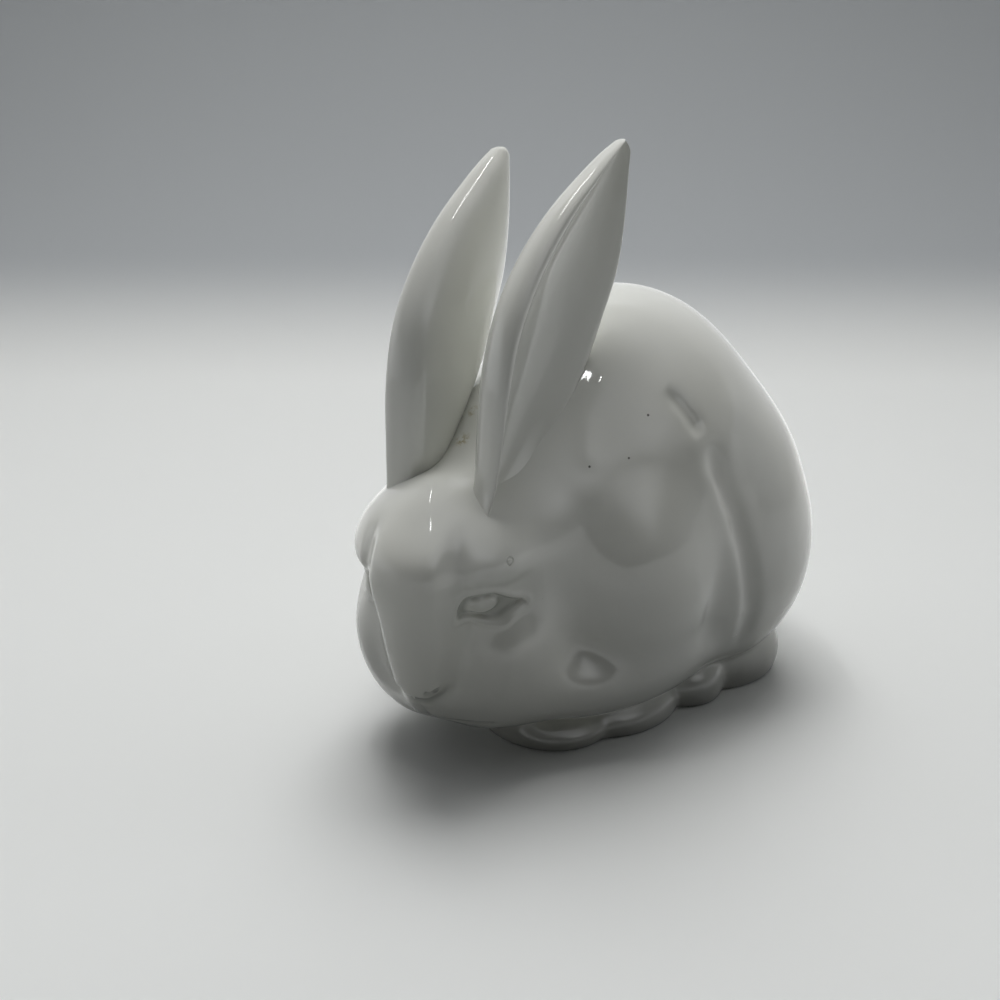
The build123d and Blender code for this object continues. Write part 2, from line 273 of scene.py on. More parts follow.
def body_relief(points):
    sided = mirrored(points)
    return (
        stroke(sided, haunch_valley, depth=1.9, width=2.6, fade_in=0.15, fade_out=0.2)
        + stroke(sided, haunch_front, depth=-0.4, width=3.2, fade_in=0.3, fade_out=0.4)
        + stroke(sided, shoulder_dimple, depth=0.9, width=2.2, fade_in=0.3, fade_out=0.25)
        + stroke(sided, dimple_lip, depth=-0.2, width=2.4, fade_in=0.5, fade_out=0.5)
        + stroke(sided, shoulder_ridge, depth=-0.5, width=3.0, fade_in=0.3, fade_out=0.3)
    )


print("Length of the valley before the haunch, mm:",
      np.linalg.norm(np.diff(haunch_valley, axis=0), axis=1).sum().round(1))

# %% [markdown]
# ## The face
# The bridge of the nose is a broad ridge from brow to nose, with a steep flank on each side. Beyond it
# lie the eye sockets, under a domed brow. These are wide, gentle shapes, so they are written as smooth
# steps across the face instead of strokes. One side is drawn and the other mirrors it.

# %% Bridge, brow and nose
eye_middle = np.array([16.6, -27.2, 1.2])
eye_out = np.array([0.769, -0.607, -0.202])
eye_along = np.array([0.634, 0.765, 0.115])
eye_up = np.cross(eye_out, eye_along)
bridge_heights = [-24, -18, -8, 0, 10, 18, 26]
bridge_half_widths = [6.5, 8.5, 10.6, 11.3, 11.8, 11.0, 9.5]
bridge_rise, bridge_inset, bridge_slope = 2.1, 2.6, 1.4
valley_depth, valley_width = 0.8, 1.8
recess_depth, recess_near, recess_far = 1.1, 4, 12
bridge_start, bridge_low_end, bridge_high_end = (18, 26), (-27, -20), (14, 24)
brow_rise, brow_middle, brow_half, brow_deep = 1.0, (2, 13), (9, 6), 9
brow_places, brow_edge = [-9, -3, 4, 9, 16], [8.6, 8.8, 6.6, 6.6, 6.4]
socket_depth, socket_upper, socket_lower = 1.0, (-2.6, 1.6), (-18, -2)
socket_middle, socket_end = 1, (8, 15)


def bridge_relief(head_points):
    side, forward, height = np.abs(head_points[:, 0]), -head_points[:, 1], head_points[:, 2]
    half_width = np.interp(height, bridge_heights, bridge_half_widths)
    raised = bridge_rise * (0.5 - 0.5 * np.tanh((side - half_width + bridge_inset) / bridge_slope))
    valley = valley_depth * np.exp(-(((side - half_width) / valley_width) ** 2))
    recess = recess_depth * (1 - smooth_step(half_width + recess_near, half_width + recess_far, side))
    fade = smooth_step(*bridge_start, forward) * smooth_step(*bridge_low_end, height)
    fade *= 1 - smooth_step(*bridge_high_end, height)
    return fade * (raised - valley - recess)


def brow_relief(head_points):
    sided = mirrored(head_points)
    offset = sided - eye_middle
    along, up, out = offset @ eye_along, offset @ eye_up, offset @ eye_out
    near = np.exp(-((out / brow_deep) ** 4))
    aside, above = (along - brow_middle[0]) / brow_half[0], (up - brow_middle[1]) / brow_half[1]
    dome = brow_rise * np.exp(-(aside ** 2) - (above ** 2))
    edge = np.interp(along, brow_places, brow_edge)
    socket = socket_depth * (1 - smooth_step(edge + socket_upper[0], edge + socket_upper[1], up))
    socket *= smooth_step(*socket_lower, up)
    socket *= 1 - smooth_step(*socket_end, np.abs(along - socket_middle))
    return near * (dome - socket)


print("The bridge is", 2 * max(bridge_half_widths), "mm wide and stands", bridge_rise, "mm proud")

# %% [markdown]
# ## The eyes
# Each eye is an almond pressed into the clay: a thin raised lid, a groove inside it, and a low oval
# eyeball with no pupil. The almond is drawn flat, from corner to corner, and its distance field
# gives all three at once: the rim just outside it, the groove inside it, and then the eyeball.

# %% Eyes
lid_outline = [
    (-7.2, -2.0), (-7.4, 0.3), (-6.7, 2.5), (-5.3, 4.4), (-3.4, 5.0), (-0.8, 4.6),
    (2.1, 3.5), (4.5, 1.9), (6.9, 0.2), (10.1, -1.4), (9.7, -2.3), (7.4, -2.9),
    (5.4, -3.7), (3.5, -4.6), (1.0, -4.5), (-1.9, -3.5), (-4.7, -2.4),
]
rim_rise, rim_place, rim_width = 0.35, 1.0, 0.8
groove_depth, groove_slope = 1.2, (-0.35, 1.1)
eyeball_middle, eyeball_half, eyeball_tilt = np.array([-0.7, 0.1]), np.array([4.1, 2.8]), math.radians(-8)
eyeball_rise, eyeball_crown, eyeball_edge = 1.05, 0.3, (0.7, 1.25)


def closed_curve(corners, steps):
    """A smooth closed line through given corners, by Catmull-Rom."""
    corners = np.array(corners, float)
    share = (np.arange(steps) / steps)[:, None]
    legs = []
    for index in range(len(corners)):
        before, start, end, after = (corners[(index + k) % len(corners)] for k in (-1, 0, 1, 2))
        legs.append(0.5 * (2 * start + (end - before) * share
                           + (2 * before - 5 * start + 4 * end - after) * share ** 2
                           + (3 * start - before - 3 * end + after) * share ** 3))
    return np.concatenate(legs)


def inside_distance(flat, outline):
    """Signed distance from flat points to a closed outline, positive inside."""
    gap = nearest_on_path(flat, np.vstack([outline, outline[:1]]))[0]
    crossings = np.zeros(len(flat), int)
    for start, end in zip(outline, np.roll(outline, -1, axis=0)):
        spans = (start[1] > flat[:, 1]) != (end[1] > flat[:, 1])
        rise = end[1] - start[1]
        if rise != 0:
            across = start[0] + (flat[:, 1] - start[1]) * (end[0] - start[0]) / rise
            crossings += spans & (flat[:, 0] < across)
    return np.where(crossings % 2 == 1, gap, -gap)


lid_line = closed_curve(lid_outline, 5)


def eye_relief(head_points):
    lift = np.zeros(len(head_points))
    offset = mirrored(head_points) - eye_middle
    along, up, out = offset @ eye_along, offset @ eye_up, offset @ eye_out
    near = (np.abs(along) < 15) & (np.abs(up) < 11) & (np.abs(out) < 6)
    if near.any():
        flat = np.stack([along[near], up[near]], 1)
        inside = inside_distance(flat, lid_line)
        rim = rim_rise * np.exp(-(((inside + rim_place) / rim_width) ** 2))
        groove = groove_depth * smooth_step(*groove_slope, inside)
        turned = flat - eyeball_middle
        turned = np.stack([
            turned[:, 0] * math.cos(eyeball_tilt) + turned[:, 1] * math.sin(eyeball_tilt),
            turned[:, 1] * math.cos(eyeball_tilt) - turned[:, 0] * math.sin(eyeball_tilt),
        ], 1)
        reach = np.sqrt(((turned / eyeball_half) ** 2).sum(1))
        ball = eyeball_rise * (1 - smooth_step(*eyeball_edge, reach))
        ball += eyeball_crown * np.clip(1 - reach ** 2, 0, 1) ** 2
        lift[near] = rim - groove + ball
    return lift


print("Each eye is", np.ptp(lid_line, axis=0).round(1), "mm long and high")

# %% [markdown]
# ## Nose, mouth and a blister in the glaze
# The nose is small: a nostril slit on each side and a cleft below. The mouth is one long line under the
# cheeks that ends in a short slit. Above the left eye a bubble burst in the glaze and left a ring 2 mm
# across, which is a flaw of this one figure, so it isn't mirrored.

# %% Nose, mouth and blister
nostril = [(2.6, -35.6, -19.6), (4.6, -34.6, -19.9), (6.6, -33.4, -18.2)]
nostril_wing = [(3.0, -35.5, -18.3), (5.0, -34.5, -18.3), (6.9, -33.2, -16.8)]
cleft = [(0, -35.4, -21.5), (0, -33.5, -25), (0, -29.5, -29.5), (0, -25, -33)]
lip = [(0, -34.6, -22.6), (3.4, -33.4, -22.4), (6.8, -31.6, -21.0), (8.2, -31.2, -18.6)]
mouth = [
    (0, -26.5, -32.3), (5, -25.0, -33.0), (9.5, -23.3, -33.3), (14, -21.0, -32.6), (18.4, -17.8, -31.4),
]
mouth_corner = [(19.8, -17.0, -30.9), (22.4, -14.4, -30.2), (24.4, -11.0, -29.0)]
blister = np.array([20.0, -24.3, 13.6])
blister_radius, blister_rise, blister_width = 0.95, 0.2, 0.18


def small_relief(head_points):
    sided = mirrored(head_points)
    ring = np.linalg.norm(head_points - blister, axis=1) - blister_radius
    return (
        stroke(sided, nostril, depth=1.1, width=0.9, fade_in=0.25, fade_out=0.3)
        + stroke(sided, nostril_wing, depth=-0.5, width=0.8, fade_in=0.3, fade_out=0.3)
        + stroke(sided, cleft, depth=0.6, width=1.0, fade_in=0.2, fade_out=0.2)
        + stroke(sided, lip, depth=0.7, width=1.4, fade_in=0.02, fade_out=0.3)
        + stroke(sided, mouth, depth=0.5, width=0.8, fade_in=0.02, fade_out=0.3)
        + stroke(sided, mouth_corner, depth=0.7, width=0.7, fade_in=0.3, fade_out=0.3)
        - blister_rise * np.exp(-((ring / blister_width) ** 2))
    )


print("The mouth is", 2 * mouth_corner[-1][0], "mm wide and the blister", 2 * blister_radius, "mm across")

# %% [markdown]
# ## The underside
# Slip-cast porcelain is hollow and fired standing up. The clay is scraped flat where it stands, and an
# oval opening lets air out, closed by a plate with a vent. The skin is cut off at the floor with a
# worn edge. Inside, only the dome that can be glimpsed through the vent is made.

# %% Whole figure
neck_join, worn_edge = 9.0, 0.6
opening_half, opening_top = (21.0, 37.0), 4.6
dome_middle_z, dome_half = 4.5, (15, 30, 26)


def whole_form(points, with_relief=True):
    """Distance to the finished skin for points in the drawing, in millimetres."""
    in_head = to_head(points)
    shape = soft_union(body_form(points), head_form(in_head), neck_join)
    if with_relief:
        shape = shape - body_relief(points) - bridge_relief(in_head) - brow_relief(in_head)
        shape = shape - eye_relief(in_head) - small_relief(in_head)
    shape = soft_cut(shape, points[..., 2], worn_edge)
    flat = points[..., :2] - foot_middle[:2].astype(points.dtype)
    well = swell(flat, (0, 0), opening_half)
    well = np.maximum(well, points[..., 2] - opening_top)
    dome = swell(points, (0, foot_middle[1], dome_middle_z), dome_half)
    return soft_cut(shape, soft_union(well, dome, 1.0), worn_edge)


print("A point 60 mm to the left of the torso's middle is outside the skin by, mm:",
      whole_form(np.array([(60.0, 5.5, 58.5)])).round(1))

# %% [markdown]
# ## From distances to a mesh
# OpenVDB turns a block of distances into quads, as Blender's Remesh modifier does. That mesh is close
# to the surface but a little uneven, so every vertex is then walked onto the swells along the slope of
# the distance, a few Newton steps. The folds come last: they push each vertex straight in or out, as
# a tool does in clay, so that steep little walls don't tear the mesh.

# %% First mesh
grid_step = 1.0
grid_low = np.array([-52.0, -90.0, -3.0])
grid_high = np.array([52.0, 76.0, 120.0])
flattest_slope, longest_move = 0.25, 1.5


def first_mesh():
    axes = [np.arange(low, high, grid_step, dtype=np.float32) for low, high in zip(grid_low, grid_high)]
    values = np.empty([len(axis) for axis in axes], np.float32)
    for index, x in enumerate(axes[0]):
        y, z = np.meshgrid(axes[1], axes[2], indexing="ij")
        slab = np.stack([np.full_like(y, x), y, z], -1)
        values[index] = whole_form(slab, with_relief=False)
    grid = openvdb.FloatGrid(background=3.0)
    grid.copyFromArray(values)
    corners, quads = grid.convertToQuads(isovalue=0.0)
    return corners.astype(float) * grid_step + grid_low, quads


def slope_and_distance(points, with_relief, step=0.04):
    """The distance at each point and the way it grows, from four samples round the point."""
    corners = np.array([(1, -1, -1), (-1, -1, 1), (-1, 1, -1), (1, 1, 1)]) * step
    samples = [whole_form(points + corner, with_relief) for corner in corners]
    growth = sum(sample[:, None] * corner for sample, corner in zip(samples, corners)) / (4 * step * step)
    return growth, sum(samples) / 4


def unit(vectors):
    return vectors / (np.linalg.norm(vectors, axis=1)[:, None] + 1e-9)


def walk_to_surface(points, rounds=6, close_enough=0.002):
    """Moves points onto the plain swells."""
    points = points.copy()
    moving = np.arange(len(points))
    for _ in range(rounds):
        growth, distance = slope_and_distance(points[moving], False)
        move = distance / np.maximum((growth ** 2).sum(1), flattest_slope)
        points[moving] -= np.clip(move, -longest_move, longest_move)[:, None] * growth
        moving = moving[np.abs(distance) > close_enough]
        if not len(moving):
            break
    return points


def raise_relief(points, rounds=6, close_enough=0.001):
    """Moves points straight out from the swells, or in, until they lie on the detailed surface."""
    outward = unit(slope_and_distance(points, False)[0])
    points = points.copy()
    moving = np.arange(len(points))
    for _ in range(rounds):
        distance = whole_form(points[moving])
        points[moving] -= distance[:, None] * outward[moving]
        moving = moving[np.abs(distance) > close_enough]
    return points


points, quads = first_mesh()
print("First mesh:", len(points), "points and", len(quads), "quads")

# %% [markdown]
# ## Finer where it matters
# One grid fine enough for the eyelids would make a mesh of millions of faces. Instead the edges in the
# face, the feet and the folds are cut in half, those round the eyes, nose and mouth twice, and those of
# the blister four times. After each cut the new vertices walk onto the swells as well. The normals are
# read from the distances too, not averaged from the faces, so the glaze mirrors without ripples.

# %% Finer regions
face_behind, face_skin, face_top = -8, 3, 26
feet_top, feet_inner = 16, 8
fold_reach, slit_reach = 5, 2.6
almond_middle, almond_half, almond_deep = (1.5, 1), (11.5, 7.5), 6
blister_reaches = ((2.6, 3), (1.8, 4))


def close_to(points, paths, reach):
    return np.min([nearest_on_path(points, path)[0] for path in paths], axis=0) < reach


def detail_level(points):
    """How many times the mesh is cut at each point."""
    sided, in_head = mirrored(points), to_head(points)
    sided_head = mirrored(in_head)
    offset = sided_head - eye_middle
    along, up, out = offset @ eye_along, offset @ eye_up, offset @ eye_out
    level = np.zeros(len(points), int)
    face = (in_head[:, 1] < face_behind) & (head_form(in_head) < face_skin) & (in_head[:, 2] < face_top)
    level[face | (points[:, 2] < feet_top) & (sided[:, 0] > feet_inner)] = 1
    level[close_to(sided, [haunch_valley, shoulder_dimple], fold_reach)] = 1
    aside, above = (along - almond_middle[0]) / almond_half[0], (up - almond_middle[1]) / almond_half[1]
    fine = (np.hypot(aside, above) < 1) & (np.abs(out) < almond_deep)
    fine |= close_to(sided_head, [nostril, nostril_wing, lip, cleft, mouth, mouth_corner], slit_reach)
    level[fine] = 2
    ring_gap = np.linalg.norm(in_head - blister, axis=1)
    for reach, finest in blister_reaches:
        level[ring_gap < reach] = finest
    return level


print("Points of the first mesh in a finer region:", int((detail_level(points) > 0).sum()))

# %% [markdown]
# ## Cutting the skin
# Blender's Subdivide could cut the whole mesh in Edit mode. Here it is given only the edges whose two
# ends both lie in a finer region, one level at a time, and its grid fill keeps most faces four-sided.

# %% Cut and walk
finest_level = 4
skin_mesh = bmesh.new()
for point in points:
    skin_mesh.verts.new(point)
skin_mesh.verts.ensure_lookup_table()
for quad in quads[:, ::-1]:
    skin_mesh.faces.new([skin_mesh.verts[int(index)] for index in quad])
new_from = 0
for level in range(finest_level + 1):
    here = np.array([vertex.co for vertex in skin_mesh.verts])
    here[new_from:] = walk_to_surface(here[new_from:])
    for vertex, point in zip(skin_mesh.verts[new_from:], here[new_from:]):
        vertex.co = point
    new_from = len(skin_mesh.verts)
    wanted = detail_level(here) > level
    skin_mesh.verts.index_update()
    edges = [edge for edge in skin_mesh.edges if all(wanted[vertex.index] for vertex in edge.verts)]
    print("Level", level, "has", new_from, "points and cuts", len(edges), "edges")
    if edges:
        bmesh.ops.subdivide_edges(skin_mesh, edges=edges, cuts=1, use_grid_fill=True)
        skin_mesh.verts.ensure_lookup_table()


# %% [markdown]
# ## From drawing to object
# Every piece ends the same way: its bmesh becomes a mesh in metres, moved to where the CAD stands, and
# is shaded smooth. The skin also keeps how deep each point lies in an eye, a nostril or the dimple,
# because melted glaze gathers there and looks darker, and the colour is darkened there as painted shade
# as well. That could be painted by hand, but the sums that press these hollows in already know where
# they are.

# %% Skin object
def finish_piece(mesh, name, normals=None):
    """Turns a bmesh in drawing millimetres into a smooth Blender object in metres."""
    bmesh.ops.recalc_face_normals(mesh, faces=mesh.faces)
    data = bpy.data.meshes.new(name)
    mesh.to_mesh(data)
    mesh.free()
    flat = np.empty(len(data.vertices) * 3)
    data.vertices.foreach_get("co", flat)
    data.vertices.foreach_set("co", in_metres(flat.reshape(-1, 3)).ravel())
    data.shade_smooth()
    if normals is not None:
        data.normals_split_custom_set_from_vertices(normals)
    data.update()
    piece = bpy.data.objects.new(name, data)
    bpy.context.scene.collection.objects.link(piece)
    return piece


here = raise_relief(here)
for vertex, point in zip(skin_mesh.verts, here):
    vertex.co = point
# How dark each point is painted: glaze pooling in the eyes, nose, mouth and dimple, and painted shade in
# these hollows.
full_pool_and_shade, eye_pool_and_shade_from, dimple_pool_and_shade = 0.8, 0.25, 0.5
in_head = to_head(here)
in_dimple = -stroke(mirrored(here), shoulder_dimple, depth=1.0, width=2.0, fade_in=0.3, fade_out=0.25)
hollow = (np.clip((-eye_relief(in_head) - eye_pool_and_shade_from) / full_pool_and_shade, 0, 1)
          + np.clip(-small_relief(in_head) / full_pool_and_shade, 0, 1)
          + dimple_pool_and_shade * in_dimple)
skin = finish_piece(skin_mesh, "porcelain_skin", unit(slope_and_distance(here, True)[0]))
skin.data.attributes.new("hollow", "FLOAT", "POINT").data.foreach_set("value", hollow)
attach(skin, "root")
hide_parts("body_shell", "head_shell", "left_forepaw", "right_forepaw", "left_hind_foot",
            "right_hind_foot", "tail")
print("Skin:", len(skin.data.polygons), "faces")

# %% [markdown]
# ## The ears
# The ears are pressed by themselves and stuck on with liquid clay. Each is a leaf: the inner side is
# convex, the outer side is scooped out behind a rolled front rim, and the rear edge is thin. A leaf
# could be cut from a curved sheet, but lofting one closed section along the ear controls rim and scoop
# together. Tip and root are closed by rings that shrink to a point, so that they end round.

# %% Ears
ear_length, ear_width, ear_thickness = 92.3, 35.0, 8.5
ear_root = np.array([12.8, -20.3, 24.7])
ear_lean = {1: math.radians(30.5), -1: math.radians(28.1)}
ear_splay = {1: math.radians(1.4), -1: math.radians(-1.1)}
ear_swing = {1: math.radians(14.6), -1: math.radians(22.2)}
ear_shift = {1: np.array([0, -0.5, 0]), -1: np.array([0, 1.8, -4.0])}
ear_rows = np.array([
    (-0.05, -0.005, 0.134, 0.55),
    (0.03, -0.052, 0.219, 0.7),
    (0.12, -0.162, 0.315, 0.85),
    (0.26, -0.344, 0.422, 1.0),
    (0.42, -0.478, 0.504, 1.0),
    (0.58, -0.467, 0.494, 0.95),
    (0.72, -0.368, 0.46, 0.85),
    (0.85, -0.208, 0.321, 0.7),
    (0.94, -0.081, 0.192, 0.5),
    (0.985, -0.008, 0.135, 0.34),
])
ear_section = [
    (0.2, -0.93), (0.6, -0.68), (0.88, -0.36), (1.0, -0.08), (0.94, 0.1), (0.76, 0.0),
    (0.4, -0.28), (0.0, -0.42), (-0.4, -0.28), (-0.66, 0.05), (-0.82, 0.36), (-0.94, 0.34),
    (-1.0, 0.0), (-0.93, -0.5), (-0.7, -0.82), (-0.3, -0.98),
]
ear_tip_share, ear_root_share, ear_centre_share = 0.017, 0.03, -0.3
ring_steps, row_count, cap_count = 7, 110, 12


def spline_through(stations, values, wanted):
    """A smooth line through values at stations, by cubic pieces with Catmull-Rom slopes."""
    values = np.asarray(values, float)
    slopes = np.gradient(values, stations, axis=0)
    index = np.clip(np.searchsorted(stations, wanted) - 1, 0, len(stations) - 2)
    span = (stations[index + 1] - stations[index])[:, None]
    share = ((wanted - stations[index])[:, None]) / span
    start, end = values[index], values[index + 1]
    start_slope, end_slope = slopes[index] * span, slopes[index + 1] * span
    square, cube = share ** 2, share ** 3
    return ((2 * cube - 3 * square + 1) * start + (cube - 2 * square + share) * start_slope
            + (3 * square - 2 * cube) * end + (cube - square) * end_slope)


def ear_place(side, along, across, outward):
    """Places on an ear, in millimetres, as points of the drawing. Side 1 is the left ear, -1 the right."""
    lean, splay, swing = ear_lean[side], ear_splay[side], ear_swing[side]
    back = along * math.sin(lean) + across * math.cos(lean)
    rise = along * math.cos(lean) - across * math.sin(lean)
    aside = side * (outward * math.cos(splay) + rise * math.sin(splay))
    up = rise * math.cos(splay) - outward * math.sin(splay)
    root = from_head((ear_root + ear_shift[side]) * (side, 1, 1))
    return root + np.stack([
        aside * math.cos(swing) - back * math.sin(swing),
        aside * math.sin(swing) + back * math.cos(swing),
        up,
    ], -1)


def make_ear(side, name):
    ring = closed_curve(ear_section, ring_steps)
    body_rows = np.linspace(ear_rows[0, 0], ear_rows[-1, 0], row_count)
    shape = spline_through(ear_rows[:, 0], ear_rows[:, 1:], body_rows)
    rows = [(along, *values) for along, values in zip(body_rows, shape)]
    cap_angles = np.linspace(0, math.pi / 2, cap_count)[1:-1]
    tip = [(rows[-1][0] + ear_tip_share * math.sin(a) ** 2, rows[-1], math.cos(a)) for a in cap_angles]
    root = [(rows[0][0] - ear_root_share * math.sin(a), rows[0], math.cos(a)) for a in cap_angles]
    mesh = bmesh.new()
    loops = []

    def add_row(along, front, rear, thick, shrink=1.0):
        middle, half = (front + rear) / 2 * ear_width, (rear - front) / 2 * ear_width * shrink
        centre = ear_centre_share * thick * ear_thickness
        outward = centre + (ring[:, 1] * thick * ear_thickness - centre) * shrink
        lengthwise, crosswise = np.full(len(ring), along * ear_length), middle + ring[:, 0] * half
        places = ear_place(side, lengthwise, crosswise, outward)
        loops.append([mesh.verts.new(place) for place in places])

    for along, row, shrink in reversed(root):
        add_row(along, *row[1:], shrink)
    for row in rows:
        add_row(*row)
    for along, row, shrink in tip:
        add_row(along, *row[1:], shrink)
    for lower, upper in zip(loops[:-1], loops[1:]):
        for index in range(len(ring)):
            after = (index + 1) % len(ring)
            mesh.faces.new([lower[index], lower[after], upper[after], upper[index]])
    for loop in (loops[0], loops[-1]):
        middle = sum((vertex.co for vertex in loop), Vector()) / len(loop)
        pole = mesh.verts.new(middle)
        for index in range(len(ring)):
            mesh.faces.new([loop[index], loop[(index + 1) % len(ring)], pole])
    return finish_piece(mesh, name)


ears = []
for side, name in ((1, "left_ear"), (-1, "right_ear")):
    ear = make_ear(side, name + "_shell")
    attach(ear, "root")
    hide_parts(name)
    ears.append(ear)
    print(name, len(ear.data.polygons), "faces")

# %% [markdown]
# ## Writing shaders as sums
# A material is a graph of nodes. Wired one by one, even a simple mask takes a page of code. A small
# class wraps a node's output so that Python's own + and * add the Math nodes, and one method makes
# any other node from its type, its settings and its inputs.

# %% Shader helper
class Signal:
    """One output of a node, which can be used in sums."""

    def __init__(self, finish, socket):
        self.finish = finish
        self.socket = socket

    def _math(self, operation, first, second):
        return self.finish.node("ShaderNodeMath", {"operation": operation}, {0: first, 1: second})

    def __add__(self, other):
        return self._math("ADD", self, other)

    def __radd__(self, other):
        return self._math("ADD", other, self)

    def __sub__(self, other):
        return self._math("SUBTRACT", self, other)

    def __rsub__(self, other):
        return self._math("SUBTRACT", other, self)

    def __mul__(self, other):
        return self._math("MULTIPLY", self, other)

    def __rmul__(self, other):
        return self._math("MULTIPLY", other, self)

    def __truediv__(self, other):
        return self._math("DIVIDE", self, other)


class Finish:
    """The nodes of a material, or of the room's light."""

    def __init__(self, owner):
        self.owner = owner
        owner.use_nodes = True
        self.tree = owner.node_tree
        self.tree.nodes.clear()

    def node(self, kind, settings=None, inputs=None, output=0):
        """Makes a node. Its settings come first, because they decide which sockets it has."""
        made = self.tree.nodes.new(kind)
        for key, value in (settings or {}).items():
            setattr(made, key, value)
        for key, value in (inputs or {}).items():
            if isinstance(value, Signal):
                self.tree.links.new(value.socket, made.inputs[key])
            else:
                made.inputs[key].default_value = value
        return None if output is None else Signal(self, made.outputs[output])

    def place(self):
        return self.node("ShaderNodeTexCoord", output="Object")

    def axis(self, vector, letter):
        return self.node("ShaderNodeSeparateXYZ", None, {0: vector}, output=letter)

    def towards(self, vector, aim):
        """How far a vector points along a fixed direction."""
        return self.node("ShaderNodeVectorMath", {"operation": "DOT_PRODUCT"},
                         {0: vector, 1: tuple(aim)}, output="Value")

    def ray(self, kind):
        """1 for rays of one kind, such as Is Camera Ray, and 0 for all others."""
        return self.node("ShaderNodeLightPath", output=kind)

    def greater(self, first, second):
        return self.node("ShaderNodeMath", {"operation": "MAXIMUM"}, {0: first, 1: second})

    def noise(self, scale, detail=2.0, roughness=0.5):
        return self.node("ShaderNodeTexNoise", {"noise_dimensions": "3D"},
                         {"Vector": self.place(), "Scale": scale, "Detail": detail, "Roughness": roughness})

    def step(self, value, low, high):
        """0 below low and 1 above high, with a smooth slope between."""
        return self.node("ShaderNodeMapRange", {"interpolation_type": "SMOOTHSTEP"},
                         {"Value": value, "From Min": low, "From Max": high})

    def blend(self, share, first, second):
        return self.node("ShaderNodeMix", {"data_type": "RGBA"}, {0: share, 6: first, 7: second}, output=2)

    def gap_to(self, place):
        return self.node("ShaderNodeVectorMath", {"operation": "DISTANCE"},
                         {0: self.place(), 1: tuple(place)}, output="Value")

    def close(self, shader_kind, output_kind, sockets):
        """Ends the graph with one shader, whose sockets are given, and the output that shows it."""
        named = {key.replace("_", " "): value for key, value in sockets.items()}
        shader = self.node(shader_kind, None, named)
        self.node(output_kind, None, {"Surface": shader}, output=None)
        return self.owner

    def surface(self, **sockets):
        return self.close("ShaderNodeBsdfPrincipled", "ShaderNodeOutputMaterial", sockets)


print("A finish can make:", ", ".join(name for name in vars(Finish) if not name.startswith("_")))

# %% [markdown]
# ## The glaze
# Porcelain glaze is a clear glass over white clay, so it is smooth, nearly white and strongly
# reflecting. What makes it look fired and not plastic is small: a cloudy warmth where the glaze is
# thick, a darker grey in each groove that is partly pooled glaze and partly painted shade, iron specks
# the size of a pin, an ochre stain along the ears' joints, and a faint orange-peel in the reflections.
# Noise and distances place them without a picture.

# %% Glaze
clay_white = (0.76, 0.765, 0.72, 1)
warm_white = (0.78, 0.77, 0.68, 1)
speck_brown = (0.05, 0.045, 0.03, 1)
stain_ochre = (0.42, 0.36, 0.17, 1)
pool_and_shade_grey = (0.33, 0.34, 0.30, 1)
warm_share, stain_share, speck_share, pool_and_shade_share = 0.35, 0.8, 0.9, 0.75
clear_roughness, cloud_roughness = 0.035, 0.03
stain_core, speck_core = 0.15, 0.6


def spots(finish, places, core):
    """1 within each spot and 0 outside them all, with edges that soften from the core outward."""
    share = None
    for place, radius in places:
        spot = 1 - finish.step(finish.gap_to(in_metres(place)), core * radius * MM, radius * MM)
        share = spot if share is None else finish.greater(share, spot)
    return share


def glaze(name, specks=(), stains=()):
    finish = Finish(bpy.data.materials.new(name))
    cloud = finish.step(finish.noise(scale=14.0), low=0.35, high=0.7)
    colour = finish.blend(cloud * warm_share, clay_white, warm_white)
    if stains:
        grain = finish.step(finish.noise(scale=900.0, detail=4.0, roughness=0.7), low=0.42, high=0.62)
        colour = finish.blend(spots(finish, stains, stain_core) * grain * stain_share, colour, stain_ochre)
    if specks:
        colour = finish.blend(spots(finish, specks, speck_core) * speck_share, colour, speck_brown)
    # Grey painted into the hollows: partly pooled glaze, partly painted shade.
    pool_and_shade = finish.node("ShaderNodeAttribute", {"attribute_name": "hollow"}, output="Fac")
    colour = finish.blend(pool_and_shade * pool_and_shade_share, colour, pool_and_shade_grey)
    peel = finish.noise(scale=260.0)
    normal = finish.node("ShaderNodeBump", None, {"Strength": 0.05, "Distance": 0.0002, "Height": peel},
                         output="Normal")
    roughness = clear_roughness + cloud * cloud_roughness
    return finish.surface(Base_Color=colour, Roughness=roughness, Normal=normal, IOR=1.5)


skin_specks = [
    ((32.3, -10.7, 88.4), 0.4), ((30.6, -27.4, 77.9), 0.4), ((42.2, -13.0, 57.1), 0.45),
    ((35.2, -30.3, 31.2), 0.4), ((33.5, -43.3, 48.5), 0.4), ((25.3, -76.5, 44.2), 0.4),
    ((33.8, -17.7, 79.1), 0.35),
]
skin_stains = [((-0.1, -49.0, 81.0), 2.4), ((6.9, -48.2, 82.0), 3.0), ((3.3, -42.8, 87.9), 2.2)]
skin.data.materials.append(glaze("body_glaze", skin_specks, skin_stains))
for ear in ears:
    ear.data.materials.append(glaze(ear.name + "_glaze"))
print("Glaze:", len(skin_specks), "specks and", len(skin_stains), "stains")

# %% [markdown]
# ## Bare clay
# The plate in the base is fired without glaze, so that it doesn't stick to the kiln shelf. It is
# chalky, slightly grainy and a little dirty. The CAD plate keeps its shape and only gets this finish.

